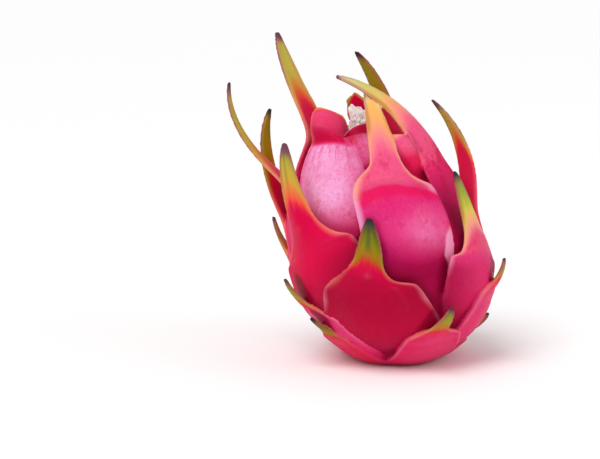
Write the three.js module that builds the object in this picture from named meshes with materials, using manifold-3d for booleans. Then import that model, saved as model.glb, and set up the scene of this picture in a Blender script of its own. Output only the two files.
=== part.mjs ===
// Whole dragon fruit, freshly picked, standing on its stem end.
// Millimetres, +Z up. The origin is the centre of the flat spot that the fruit rests on,
// and -Y is its front. Angles are in degrees.
//
// The fruit is an egg-shaped body covered by fleshy scales (bracts). Each scale is a panel grown onto
// the body, widening up to two shoulders, and a blade that leaves the body there and narrows to a tip.
// Scales climb the body in one spiral, a golden angle apart, and all of it is one piece of peel.
// A hollow in the crown holds the pale withered base of the flower.
import * as THREE from "three";
import { mergeVertices } from "three/addons/utils/BufferGeometryUtils.js";
import Module from "manifold-3d";

const wasm = await Module();
wasm.setup();

const { clamp, degToRad, lerp, radToDeg, smoothstep } = THREE.MathUtils;

// ---- Driving dimensions ----

const body = {
  radius: 44, // at the girth
  girthHeight: 50, // above the stem end
  upperHeight: 70, // half axis of the egg above the girth; below it, girthHeight is the half axis
  upperTaper: 1.4, // narrows the upper half; 1 is a half ellipse
  lipRadius: 15, // of the crown's rim
  lipRound: 2.2, // rounding of the rim
  hollowRadius: 10,
  hollowDepth: 8, // below the rim
  hollowFillet: 1.6, // round the hollow's floor
  facets: 36, // round the body
  rows: 16, // up the body
};

const stance = {
  lean: 5, // the axis leans to the left
  bow: 17, // and bends further left by this much at bowHeight
  bowHeight: 115,
  flatDepth: 2.5, // taken off the round end, which leaves the flat spot
};

const spiral = {
  turn: 137.5, // azimuth from each scale to the next one up
  frontAzimuth: -13, // of scale 0, measured from the front, positive to the right
  frontSeat: 45, // height at which the blade of scale 0 leaves the body
  rise: 5, // of the seat, from each scale to the next
  lowest: -8,
  crownFirst: 13, // this scale and those above it stand round the rim
  highest: 18,
  crownSeat: 109,
  crownRise: 0.8,
};

// How a scale grows by the rule: from the lowest scale to the crown, with the largest random departure.
const growth = {
  azimuthDrift: 6,
  length: { lowest: 15, crown: 54, power: 0.8, drift: 3 },
  shoulder: { lowest: 12, girth: 20, crown: 15 }, // half width at the seat
  neck: { lowest: 5, crown: 7 }, // half width a quarter up the blade
  flare: { mean: 22, drift: 6 },
  curl: { mean: -30, drift: 12 },
  sidewaysDrift: 8,
};

const panel = {
  foot: 42, // length below the seat
  footSink: 0.8, // of the lower end below the body's surface
  lift: 3.4, // of the outer face above the body at the seat
  liftPower: 1.6,
  belly: 1.5, // extra swell halfway up
  bulge: 0.25, // share that it is wider below the seat
  bulgeTurn: 0.9, // of a half turn of the sine that widens it
  footNarrowing: 0.97, // of the foot, over a short way
  footNarrowingPower: 5,
  flatness: 0.97, // its radius across, as a share of the body's
  thickness: 5.6, // sunk into the body
  rows: 5,
};

const blade = {
  thickness: 2.9,
  tipThickness: 1.5,
  marginThickness: 1.3,
  backRadius: 8, // of the rounded back, across
  seatTurn: 6, // leaves the body at this angle
  flareShare: 0.1, // share of the length in which it flares
  curlPower: 1.3,
  swayShare: 0.25,
  bendPower: 1.5,
  roundedShare: 0.45, // and twisted
  fleshyShare: 0.18,
  shoulderShare: 0.42,
  shoulderPower: 2.4,
  neckShare: 0.25,
  taperPower: 0.55,
  bluntness: 0.015, // share of the width that a tip keeps
  cutPower: 3,
  cutSwell: 0.18, // a blade cut short is this much wider halfway
  skewPower: 3, // in which the seat's slant dies out up the blade
  cornerPower: 2, // of a left shoulder that ends in a corner instead of flowing into the blade
  rows: 8,
  stepsPerRow: 4,
};

const facetsAcross = 4; // across a panel and a blade

// What grew unlike the rule, scale by scale. A blade with a cutSlope was cut short; 14 and 16 are such
// stubs beside the shoulders of 11 and 13.
const grown = {
  [-8]: { azimuth: -58, seat: 20, length: 18, flare: 10, curl: -10, sway: 5 },
  [-2]: { lift: 5.5, length: 18, flare: 24, curl: -35, sway: 6 },
  0: { azimuth: -15, seat: 46.4, lift: 5.5, length: 35.5, flare: 5, curl: -35, sway: 19, bend: -6,
       twist: -3, shoulder: 23.5, neck: 8.5 },
  1: { azimuth: 137, seat: 48, length: 25, flare: 10, curl: -20, sway: -5, bend: 5 },
  2: { azimuth: -100, seat: 50, length: 25, flare: 20, curl: -30, sway: -6, bend: -7 },
  3: { azimuth: 59, seat: 51.5, lift: 5, skew: -0.26, length: 46.2, flare: 4, curl: -5, sway: -24,
       bend: 16, twist: -20, shoulder: 21.4, neck: 6.1 },
  5: { azimuth: -47, seat: 62.3, lift: 6, skew: 0.41, length: 52.5, flare: 14, curl: -35, bend: 5,
       twist: 19, shoulder: 25.2, neck: 7.9 },
  6: { azimuth: 106, seat: 63.9, length: 60.8, flare: 31, curl: -55, sway: 5, bend: -2, twist: 32,
       shoulder: 18.1, neck: 6.1 },
  7: { azimuth: -104, seat: 65.5, length: 63.1, flare: 22, curl: -55, sway: -4, bend: -3, twist: -33,
       shoulder: 17.9, neck: 5.5 },
  8: { azimuth: 15, seat: 85.9, lift: 6, bulge: 0.12, skew: 0.08, corner: 0.23, length: 52.7, flare: 20,
       curl: -41, sway: 10, bend: 5, twist: -3, shoulder: 20.5, neck: 7.8 },
  9: { azimuth: 145, seat: 92.4, length: 59.9, flare: 44, curl: -64, sway: -4, bend: -8, twist: -2,
       shoulder: 17, neck: 7.4 },
  10: { azimuth: -93, seat: 83.4, length: 60.5, flare: 67, curl: -81, sway: -1, bend: -2, twist: -20,
        shoulder: 14.1, neck: 3.9 },
  11: { azimuth: 65, seat: 90, lift: 7, length: 62.2, flare: 32, curl: -77.5, sway: -22, bend: 4,
        twist: -20, shoulder: 15.1, neck: 8.2 },
  12: { azimuth: 197, seat: 104, length: 10, flare: 10, curl: 0, shoulder: 13, neck: 8, cutSlope: 0 },
  13: { azimuth: -33, seat: 109.78, foot: 53, belly: 2.6, bulge: 0.75, length: 15.55, flare: 12, curl: 0,
        sway: 8, twist: 42, shoulder: 11.68, neck: 6.04, cutSlope: -0.07 },
  14: { azimuth: 49.5, seat: 90, lift: 3.2, length: 21.8, flare: 31, curl: -20, sway: -8, twist: 22,
        shoulder: 13, neck: 9, cutSlope: -0.3 },
  15: { azimuth: -113, seat: 107.8, length: 53.3, flare: 52, curl: -30, sway: -6, bend: 2, twist: -19,
        shoulder: 10.9, neck: 8.1 },
  16: { azimuth: 18, length: 5, flare: 10, curl: 0, shoulder: 10, neck: 9, cutSlope: 0.2 },
  17: { azimuth: 155, seat: 109.7, length: 19.2, flare: 36, curl: 0, sway: -7, shoulder: 6.5, neck: 5.6,
        cutSlope: -0.1, cutPeak: 0.7 },
  18: { azimuth: 93, seat: 93, lift: 4.2, length: 24, flare: 20, curl: -40, sway: 4, shoulder: 16,
        neck: 6.5 },
};

const remnant = {
  radius: 5.5,
  topRadius: 4.8,
  height: 21,
  lean: 8.5, // of the top, to the right
  raggedness: 1.6, // of the torn top
  pleats: 7,
  pleatDepth: 0.16, // share of the radius
  facetsPerPleat: 4,
  clearance: 0.4, // above the hollow's floor
};

const peelMaterial = new THREE.MeshStandardMaterial({ color: 0xd91a63, roughness: 0.42, metalness: 0 });
const remnantMaterial = new THREE.MeshStandardMaterial({ color: 0xf0dcdc, roughness: 0.8, metalness: 0 });

// ---- Body ----

// Point of the egg's outline at an egg angle: -90 at the stem end, 0 at the girth, 90 at the top.
// slope is the outline's lean out of the upright, in radians, positive where the body widens upwards.
function eggPoint(angle) {
  const halfAxis = angle < 0 ? body.girthHeight : body.upperHeight;
  const taper = angle < 0 ? 1 : body.upperTaper;
  const a = degToRad(angle);
  const radius = body.radius * Math.cos(a) ** taper;
  return {
    radius,
    height: body.girthHeight + halfAxis * Math.sin(a),
    slope: Math.atan2(-radius * taper * Math.tan(a), halfAxis * Math.cos(a)),
  };
}

function eggAngleAtHeight(height) {
  const halfAxis = height < body.girthHeight ? body.girthHeight : body.upperHeight;
  return radToDeg(Math.asin((height - body.girthHeight) / halfAxis));
}

// Egg angle at a distance along the outline below a start angle. It stops short of the stem end.
function eggAngleBelow(start, distance) {
  const step = 0.5;
  const lowestAngle = -87;
  let angle = start;
  let walked = 0;
  while (walked < distance && angle > lowestAngle) {
    const here = eggPoint(angle);
    const next = eggPoint(angle - step);
    walked += Math.hypot(here.radius - next.radius, here.height - next.height);
    angle -= step;
  }
  return angle;
}

// Egg angle where the outline turns into the crown's rounded rim.
const rimAngle = radToDeg(
  Math.acos(((body.lipRadius + body.lipRound) / body.radius) ** (1 / body.upperTaper)),
);

function bodyGeometry() {
  const outline = [];
  for (let i = 0; i <= body.rows; i++) {
    const p = eggPoint(lerp(-90, rimAngle, i / body.rows));
    outline.push(new THREE.Vector2(i === 0 ? 0 : p.radius, p.height));
  }
  const rim = eggPoint(rimAngle).height;
  const lipTurns = [50, 90, 130, 180];
  for (const turn of lipTurns) {
    const a = degToRad(turn);
    const reach = body.lipRound * Math.cos(a);
    outline.push(new THREE.Vector2(body.lipRadius + reach, rim + body.lipRound * Math.sin(a)));
  }
  const floor = rim - body.hollowDepth;
  outline.push(new THREE.Vector2(body.hollowRadius, floor + body.hollowFillet));
  outline.push(new THREE.Vector2(body.hollowRadius - body.hollowFillet, floor));
  outline.push(new THREE.Vector2(0, floor));
  return new THREE.LatheGeometry(outline, body.facets).rotateX(Math.PI / 2);
}

// ---- Scales ----

// Repeatable random number from -1 to 1 for a scale and a purpose.
function chance(number, purpose) {
  const x = Math.sin(number * 12.9898 + purpose * 78.233) * 43758.5453;
  return 2 * (x - Math.floor(x)) - 1;
}

// A scale's place, size and bearing by the spiral rule, then as it grew.
// length is the blade's; shoulder and neck are half widths; flare turns the blade outwards at the seat,
// curl turns it on towards the tip, sway and bend do so sideways, and twist rolls it about its length.
// lift and belly raise its panel off the body at the seat and halfway down, bulge widens it below the seat,
// skew slants the seat up to the right, and corner is the share of the blade at which its left shoulder
// ends, where it doesn't flow into the blade.
function scaleHabit(number) {
  const share = (number - spiral.lowest) / (spiral.crownFirst - spiral.lowest);
  const onRim = number >= spiral.crownFirst;
  const rule = {
    azimuth: spiral.frontAzimuth + spiral.turn * number + growth.azimuthDrift * chance(number, 1),
    seat: onRim
      ? spiral.crownSeat + spiral.crownRise * (number - spiral.crownFirst)
      : spiral.frontSeat + spiral.rise * number,
    length:
      lerp(growth.length.lowest, growth.length.crown, clamp(share, 0, 1) ** growth.length.power) +
      growth.length.drift * chance(number, 2),
    shoulder:
      lerp(growth.shoulder.lowest, growth.shoulder.girth, smoothstep(share, 0, 0.4)) +
      lerp(0, growth.shoulder.crown - growth.shoulder.girth, smoothstep(share, 0.75, 1)),
    neck: lerp(growth.neck.lowest, growth.neck.crown, share),
    flare: growth.flare.mean + growth.flare.drift * chance(number, 3),
    curl: growth.curl.mean + growth.curl.drift * chance(number, 4),
    sway: growth.sidewaysDrift * chance(number, 5),
    bend: growth.sidewaysDrift * chance(number, 6),
    twist: 0,
    foot: panel.foot,
    lift: panel.lift,
    belly: panel.belly,
    bulge: panel.bulge,
    skew: 0,
    corner: 0,
  };
  const straight = grown[number] && { sway: 0, bend: 0 };
  return { ...rule, ...straight, ...grown[number] };
}

// Stations along a scale's back, from the foot of its panel to its tip. Each holds the point on the
// outer face, the directions along, across and out of it, the half widths and the radius across.
function scaleStations(habit) {
  const azimuth = degToRad(habit.azimuth);
  const out = new THREE.Vector3(Math.sin(azimuth), -Math.cos(azimuth), 0);
  const side = new THREE.Vector3(Math.cos(azimuth), Math.sin(azimuth), 0);
  const up = new THREE.Vector3(0, 0, 1);
  const frame = (slope, yaw, roll = 0) => {
    const climb = up.clone().multiplyScalar(Math.cos(slope)).addScaledVector(out, Math.sin(slope));
    const along = climb.clone().multiplyScalar(Math.cos(yaw)).addScaledVector(side, Math.sin(yaw));
    const outward = out.clone().multiplyScalar(Math.cos(slope)).addScaledVector(up, -Math.sin(slope));
    outward.applyAxisAngle(along, roll);
    return { along, outward, across: along.clone().cross(outward) };
  };
  const stations = [];

  const seatAngle = eggAngleAtHeight(habit.seat);
  const footAngle = eggAngleBelow(seatAngle, habit.foot);
  for (let i = 0; i <= panel.rows; i++) {
    const share = i / panel.rows;
    const below = 1 - share;
    const egg = eggPoint(lerp(footAngle, seatAngle, share));
    const swell = habit.belly * Math.sin(Math.PI * share) - panel.footSink * below ** 2;
    const lift = habit.lift * share ** panel.liftPower + swell;
    const directions = frame(egg.slope, 0);
    const point = out.clone().multiplyScalar(egg.radius).addScaledVector(up, egg.height);
    const spread = 1 + habit.bulge * Math.sin(panel.bulgeTurn * Math.PI * below);
    const rounding = Math.sqrt(1 - panel.footNarrowing * below ** panel.footNarrowingPower);
    const halfWidth = habit.shoulder * spread * rounding;
    stations.push({
      ...directions,
      point: point.addScaledVector(directions.outward, lift),
      leftWidth: halfWidth,
      rightWidth: halfWidth,
      backRadius: (panel.flatness * egg.radius) / Math.cos(egg.slope),
      thickness: panel.thickness,
      share: 0,
    });
  }

  const seat = stations[stations.length - 1];
  const seatSlope = eggPoint(seatAngle).slope + degToRad(blade.seatTurn);
  const slopeAt = (s) => {
    const flared = degToRad(habit.flare) * (1 - Math.exp(-s / blade.flareShare));
    return seatSlope + flared + degToRad(habit.curl) * s ** blade.curlPower;
  };
  const yawAt = (s) => {
    const swayed = degToRad(habit.sway) * smoothstep(s, 0, blade.swayShare);
    return swayed + degToRad(habit.bend) * s ** blade.bendPower;
  };
  const point = seat.point.clone();
  const steps = blade.rows * blade.stepsPerRow;
  for (let i = 1; i <= steps; i++) {
    const middle = (i - 0.5) / steps;
    point.addScaledVector(frame(slopeAt(middle), yawAt(middle)).along, habit.length / steps);
    if (i % blade.stepsPerRow) continue;
    const s = i / steps;
    const rounding = smoothstep(s, 0, blade.roundedShare);
    stations.push({
      ...frame(slopeAt(s), yawAt(s), degToRad(habit.twist) * rounding),
      point: point.clone(),
      leftWidth: bladeHalfWidth(habit, s, habit.corner),
      rightWidth: bladeHalfWidth(habit, s, 0),
      backRadius: 1 / ((1 - rounding) / seat.backRadius + rounding / blade.backRadius),
      thickness: bladeThickness(s),
      share: s,
    });
  }
  return stations;
}

// Half width of a blade at a share s of its length: shoulders, a narrow neck, and a pointed or cut end.
function bladeHalfWidth(habit, s, corner) {
  if (habit.cutSlope !== undefined) {
    const swell = 1 + blade.cutSwell * Math.sin(Math.PI * s);
    return lerp(habit.shoulder, habit.neck, s ** blade.cutPower) * swell;
  }
  const taper = (share) =>
    ((1 - (1 - blade.bluntness) * share) / (1 - blade.neckShare)) ** blade.taperPower;
  const fade = corner
    ? 1 - Math.min(s / corner, 1) ** blade.cornerPower
    : clamp(1 - s / blade.shoulderShare, 0, 1) ** blade.shoulderPower;
  return habit.neck * taper(s) + (habit.shoulder - habit.neck * taper(0)) * fade;
}

function bladeThickness(s) {
  const fleshy = lerp(panel.thickness, blade.thickness, smoothstep(s, 0, blade.fleshyShare));
  return lerp(fleshy, blade.tipThickness, s);
}

// Ring of points round a scale at a station: the outer face, then back along the inner face.
function scaleRing(station, habit) {
  const outer = [];
  const inner = [];
  const margin = Math.min(blade.marginThickness, station.thickness);
  for (let i = 0; i <= facetsAcross; i++) {
    const q = lerp(-1, 1, i / facetsAcross);
    const halfWidth = q < 0 ? station.leftWidth : station.rightWidth;
    const angle = (q * halfWidth) / station.backRadius;
    const cut = (habit.cutSlope ?? 0) * q - (habit.cutPeak ?? 0) * Math.abs(q);
    const shift = cut * station.share + habit.skew * q * (1 - station.share) ** blade.skewPower;
    const normal = station.outward
      .clone()
      .multiplyScalar(Math.cos(angle))
      .addScaledVector(station.across, Math.sin(angle));
    const point = station.point
      .clone()
      .addScaledVector(station.outward, -station.backRadius)
      .addScaledVector(normal, station.backRadius)
      .addScaledVector(station.along, shift * halfWidth);
    const thickness = lerp(station.thickness, margin, q * q);
    outer.push(point);
    inner.push(point.clone().addScaledVector(normal, -thickness));
  }
  return [...outer, ...inner.reverse()];
}

// Closed solid through rings of equal length, with a fan over the first and the last.
function solidThroughRings(rings) {
  const count = rings[0].length;
  const points = rings.flat();
  const index = [];
  for (let row = 0; row + 1 < rings.length; row++) {
    for (let i = 0; i < count; i++) {
      const a = row * count + i;
      const b = row * count + ((i + 1) % count);
      index.push(a, b, b + count, a, b + count, a + count);
    }
  }
  const fan = (first, forward) => {
    const centre = new THREE.Vector3();
    for (let i = 0; i < count; i++) centre.addScaledVector(points[first + i], 1 / count);
    points.push(centre);
    const hub = points.length - 1;
    for (let i = 0; i < count; i++) {
      const a = first + i;
      const b = first + ((i + 1) % count);
      index.push(...(forward ? [a, b, hub] : [b, a, hub]));
    }
  };
  fan(0, false);
  fan((rings.length - 1) * count, true);
  return new THREE.BufferGeometry().setFromPoints(points).setIndex(index);
}

function scaleGeometry(number) {
  const habit = scaleHabit(number);
  return solidThroughRings(scaleStations(habit).map((station) => scaleRing(station, habit)));
}

// ---- Withered base of the flower ----

function remnantGeometry() {
  const floor = eggPoint(rimAngle).height - body.hollowDepth + remnant.clearance;
  const facets = remnant.pleats * remnant.facetsPerPleat;
  const rings = [];
  for (const share of [0, 0.35, 0.7, 1]) {
    const ring = [];
    for (let i = 0; i < facets; i++) {
      const turn = (2 * Math.PI * i) / facets;
      const pleat = 1 + remnant.pleatDepth * Math.cos(remnant.pleats * turn);
      const radius = lerp(remnant.radius, remnant.topRadius, share) * pleat;
      const ragged = share * remnant.raggedness * Math.sin(3 * turn + 0.7);
      ring.push(
        new THREE.Vector3(
          radius * Math.cos(turn) + remnant.lean * share,
          radius * Math.sin(turn),
          floor + share * remnant.height + ragged,
        ),
      );
    }
    rings.push(ring);
  }
  return solidThroughRings(rings);
}

// ---- Stance and joining ----

// Bends the upright fruit to the left, more the higher up.
function bowed(geometry) {
  const position = geometry.getAttribute("position");
  for (let i = 0; i < position.count; i++) {
    const share = position.getZ(i) / stance.bowHeight;
    position.setX(i, position.getX(i) - stance.bow * share ** 2);
  }
  return geometry;
}

const weldDistance = 1e-4;

function toSolid(geometry) {
  const bare = new THREE.BufferGeometry().setAttribute("position", geometry.getAttribute("position"));
  bare.setIndex(geometry.getIndex());
  const merged = mergeVertices(bare, weldDistance);
  return new wasm.Manifold(
    new wasm.Mesh({
      numProp: 3,
      vertProperties: merged.getAttribute("position").array,
      triVerts: new Uint32Array(merged.getIndex().array),
    }),
  );
}

function toGeometry(solid) {
  const { vertProperties, triVerts } = solid.getMesh();
  return new THREE.BufferGeometry()
    .setAttribute("position", new THREE.BufferAttribute(vertProperties, 3))
    .setIndex(new THREE.BufferAttribute(triVerts, 1));
}

// The largest piece of a solid, without the hollows that joining has sealed.
function wholeBody(solid) {
  return solid.decompose().reduce((a, b) => (a.volume() > b.volume() ? a : b));
}

// Rotation and place that stand the upright fruit on its flat spot: the lowest point of the leaning
// egg comes to x 0, and flatDepth below the ground.
function stanceMatrix() {
  const lean = degToRad(stance.lean);
  const spread = Math.hypot(body.radius * Math.sin(lean), body.girthHeight * Math.cos(lean));
  const lowest = new THREE.Vector3(
    (-(body.radius ** 2) * Math.sin(lean)) / spread,
    0,
    body.girthHeight - (body.girthHeight ** 2 * Math.cos(lean)) / spread,
  );
  const rotation = new THREE.Matrix4().makeRotationY(-lean);
  lowest.applyMatrix4(rotation);
  return rotation.setPosition(-lowest.x, 0, -lowest.z - stance.flatDepth);
}

const matrix = stanceMatrix();

function peelGeometry() {
  let peel = toSolid(bowed(bodyGeometry()));
  for (let number = spiral.lowest; number <= spiral.highest; number++) {
    peel = peel.add(toSolid(bowed(scaleGeometry(number))));
  }
  const ground = new THREE.BoxGeometry(300, 300, 60).translate(0, 0, -30);
  ground.applyMatrix4(matrix.clone().invert());
  return toGeometry(wholeBody(peel.subtract(toSolid(ground))));
}

const dragonFruit = new THREE.Group();
matrix.decompose(dragonFruit.position, dragonFruit.quaternion, dragonFruit.scale);

const peel = new THREE.Mesh(peelGeometry(), peelMaterial);
peel.name = "peel_with_scales";

const flowerRemnant = new THREE.Mesh(bowed(remnantGeometry()), remnantMaterial);
flowerRemnant.name = "flower_remnant";

dragonFruit.add(peel, flowerRemnant);

const part = new THREE.Group();
part.add(dragonFruit);

export default part;
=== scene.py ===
import math

import bmesh
import bpy
import numpy as np
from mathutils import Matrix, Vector


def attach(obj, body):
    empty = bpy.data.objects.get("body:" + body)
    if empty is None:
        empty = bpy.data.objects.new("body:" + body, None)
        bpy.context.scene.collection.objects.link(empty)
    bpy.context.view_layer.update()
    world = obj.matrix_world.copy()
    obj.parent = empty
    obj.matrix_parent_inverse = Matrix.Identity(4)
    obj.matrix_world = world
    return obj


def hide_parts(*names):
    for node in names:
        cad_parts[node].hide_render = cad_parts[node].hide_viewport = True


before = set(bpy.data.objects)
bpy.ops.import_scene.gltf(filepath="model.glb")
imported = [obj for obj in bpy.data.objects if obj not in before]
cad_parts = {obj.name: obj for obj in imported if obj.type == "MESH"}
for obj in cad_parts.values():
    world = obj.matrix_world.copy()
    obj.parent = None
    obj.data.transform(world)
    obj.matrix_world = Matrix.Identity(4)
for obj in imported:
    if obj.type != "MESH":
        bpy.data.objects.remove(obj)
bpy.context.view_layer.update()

# A whole dragon fruit standing on its stem end: an egg-shaped body under fleshy scales, and the withered
# flower in its crown. Lengths in the dictionaries are millimetres, if not said otherwise, and angles degrees.
mm = 0.001
upright = np.array([0.0, 0.0, 1.0])


# 0 below low, 1 above high, and 3 s^2 - 2 s^3 of the share s between them.
def smoothStep(x, low, high):
    s = np.clip((x - low) / (high - low), 0, 1)
    return s * s * (3 - 2 * s)


# Rises from 0 to 1 between the first two places and falls again between the last two.
def hump(x, rise, risen, fall, fallen):
    return smoothStep(x, rise, risen) * (1 - smoothStep(x, fall, fallen))


# e^(-((x - middle) / width)^2).
def bell(x, middle, width):
    return np.exp(-(((x - middle) / width) ** 2))


# a + (b - a) share.
def blendTo(a, b, share):
    return a + (b - a) * share


# One value to a row, to multiply whole rows by.
def columns(values):
    return np.asarray(values)[:, None]


# Smooth random field over points: sines in seeded directions, added up and brought to about -1..1.
def ripple(points, wavelength, seed, waves=14):
    draw = np.random.default_rng(seed)
    heading = draw.normal(size=(waves, 3))
    heading /= np.linalg.norm(heading, axis=1, keepdims=True)
    stretch = draw.uniform(0.7, 1.5, waves)
    phase = draw.uniform(0, 2 * np.pi, waves)
    turns = points @ (heading * stretch[:, None]).T * (2 * np.pi / wavelength) + phase
    return np.sin(turns).sum(axis=1) / math.sqrt(waves)


body = {
    "radius": 44,
    "girthHeight": 50,
    "upperHeight": 70,
    "upperTaper": 1.4,
    "lipRadius": 15,
    "lipRound": 2.2,
    "hollowRadius": 10,
    "hollowDepth": 8,
    "hollowFillet": 1.6,
    "stemAngle": -89,  # of the lowest ring, on the egg's outline
    "lowestFoot": -87.5,  # of the lowest foot of a scale
    "rows": 110,
    "lipRows": 12,
    "wallRows": 8,
    "columns": 200,
}

# The fruit leans and bows to the left, and a flat spot is cut flatDepth deep into its stem end.
stance = {"lean": 5, "bow": 17, "bowHeight": 115, "flatDepth": 2.5}


# The egg's outline: a quarter ellipse below the girth, and above it a taller one narrowed by a power p.
# radius = R (cos a)^p, height = girth + H sin a, slope = lean of the outline out of the upright.
def eggOutline(angle):
    half = np.where(angle < 0, body["girthHeight"], body["upperHeight"])
    taper = np.where(angle < 0, 1, body["upperTaper"])
    a = np.radians(angle)
    radius = body["radius"] * np.cos(a) ** taper
    height = body["girthHeight"] + half * np.sin(a)
    return radius, height, np.arctan2(-radius * taper * np.tan(a), half * np.cos(a))


rimShare = (body["lipRadius"] + body["lipRound"]) / body["radius"]
rimAngle = math.degrees(math.acos(rimShare ** (1 / body["upperTaper"])))
rimHeight = float(eggOutline(np.array(rimAngle))[1])
hollowFloor = rimHeight - body["hollowDepth"]


# The body is its outline spun about the axis: up the egg, over the rounded rim and down into the hollow.
def bodySurface():
    angle = np.linspace(body["stemAngle"], rimAngle, body["rows"])
    radius, height, _ = eggOutline(angle)
    turn = np.radians(np.linspace(20, 180, body["lipRows"]))
    lipAcross = body["lipRadius"] + body["lipRound"] * np.cos(turn)
    lipUp = rimHeight + body["lipRound"] * np.sin(turn)
    inner, fillet = body["hollowRadius"], body["hollowFillet"]
    wall = np.linspace(0.1, 1, body["wallRows"])
    wallAcross = blendTo(lipAcross[-1], inner, wall)
    wallUp = blendTo(rimHeight, hollowFloor + fillet, wall)
    radius = np.concatenate([radius, lipAcross, wallAcross, [inner - fillet, inner / 2, 0.5]])
    height = np.concatenate([height, lipUp, wallUp, [hollowFloor, hollowFloor, hollowFloor]])
    around = np.linspace(0, 2 * np.pi, body["columns"], endpoint=False)
    circle = np.stack([np.cos(around), np.sin(around), 0 * around], axis=1)
    return radius[:, None, None] * circle + height[:, None, None] * upright


# Where scales sit: each a golden angle on from the last and a little higher, and close by on the crown's rim.
spiral = {
    "turn": 137.5,
    "frontAzimuth": -13,
    "frontSeat": 45,
    "rise": 5,
    "lowest": -8,
    "crownFirst": 13,
    "highest": 18,
    "crownSeat": 109,
    "crownRise": 0.8,
}

# How large they grow from the lowest to the crown, and how much each may drift from that.
growth = {
    "azimuthDrift": 6,
    "lowestLength": 15,
    "crownLength": 54,
    "lengthPower": 0.8,
    "lengthDrift": 3,
    "lowestShoulder": 12,
    "girthShoulder": 20,
    "crownShoulder": 15,
    "lowestNeck": 5,
    "crownNeck": 7,
    "flare": 22,
    "flareDrift": 6,
    "curl": -30,
    "curlDrift": 12,
    "sidewaysDrift": 8,
}

# The part of a scale that lies on the body, from its foot up to its seat.
panel = {
    "foot": 42,
    "footSink": 0.8,
    "footTaper": 0.97,
    "lift": 3.4,
    "liftPower": 1.6,
    "belly": 1.5,
    "bulge": 0.25,
    "bulgeSpan": 0.9,
    "flatness": 0.97,
    "thickness": 5.6,
    "rows": 44,
}

# The part that leaves the body there and narrows to a tip. Its shares are of its length.
blade = {
    "thickness": 2.9,
    "tipThickness": 1.5,
    "marginThickness": 1.3,
    "backRadius": 8,
    "seatTurn": 6,
    "flareShare": 0.1,
    "curlPower": 1.3,
    "swayShare": 0.25,
    "bendPower": 1.5,
    "roundedShare": 0.45,
    "fleshyShare": 0.18,
    "shoulderShare": 0.42,
    "shoulderPower": 2.4,
    "cornerReach": 4,  # rows over which the corners at the seat are rounded
    "neckShare": 0.25,
    "taperPower": 0.55,
    "bluntness": 0.015,
    "waver": 0.035,
    "waverRate": 9,
    "rows": 72,
    "across": 36,
    "cutSwell": 0.18,
    "rimLift": 0.5,  # the margins turn out a little
}

# Finer forms of the back: a keel up its middle, a raised lip along the shoulders with a crease below it, and
# a raised edge round the panel with a gutter inside it. The crease runs at creaseAt + slant q - arch q^2
# along the scale, q across it.
relief = {"keel": 0.35, "lip": 0.1, "crease": 0.25, "creaseAt": -0.09, "slant": 0.0, "arch": 0.0,
          "creaseWidth": 0.06, "edge": 0.35, "gutterAt": 0.74, "gutterWidth": 0.1}

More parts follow.
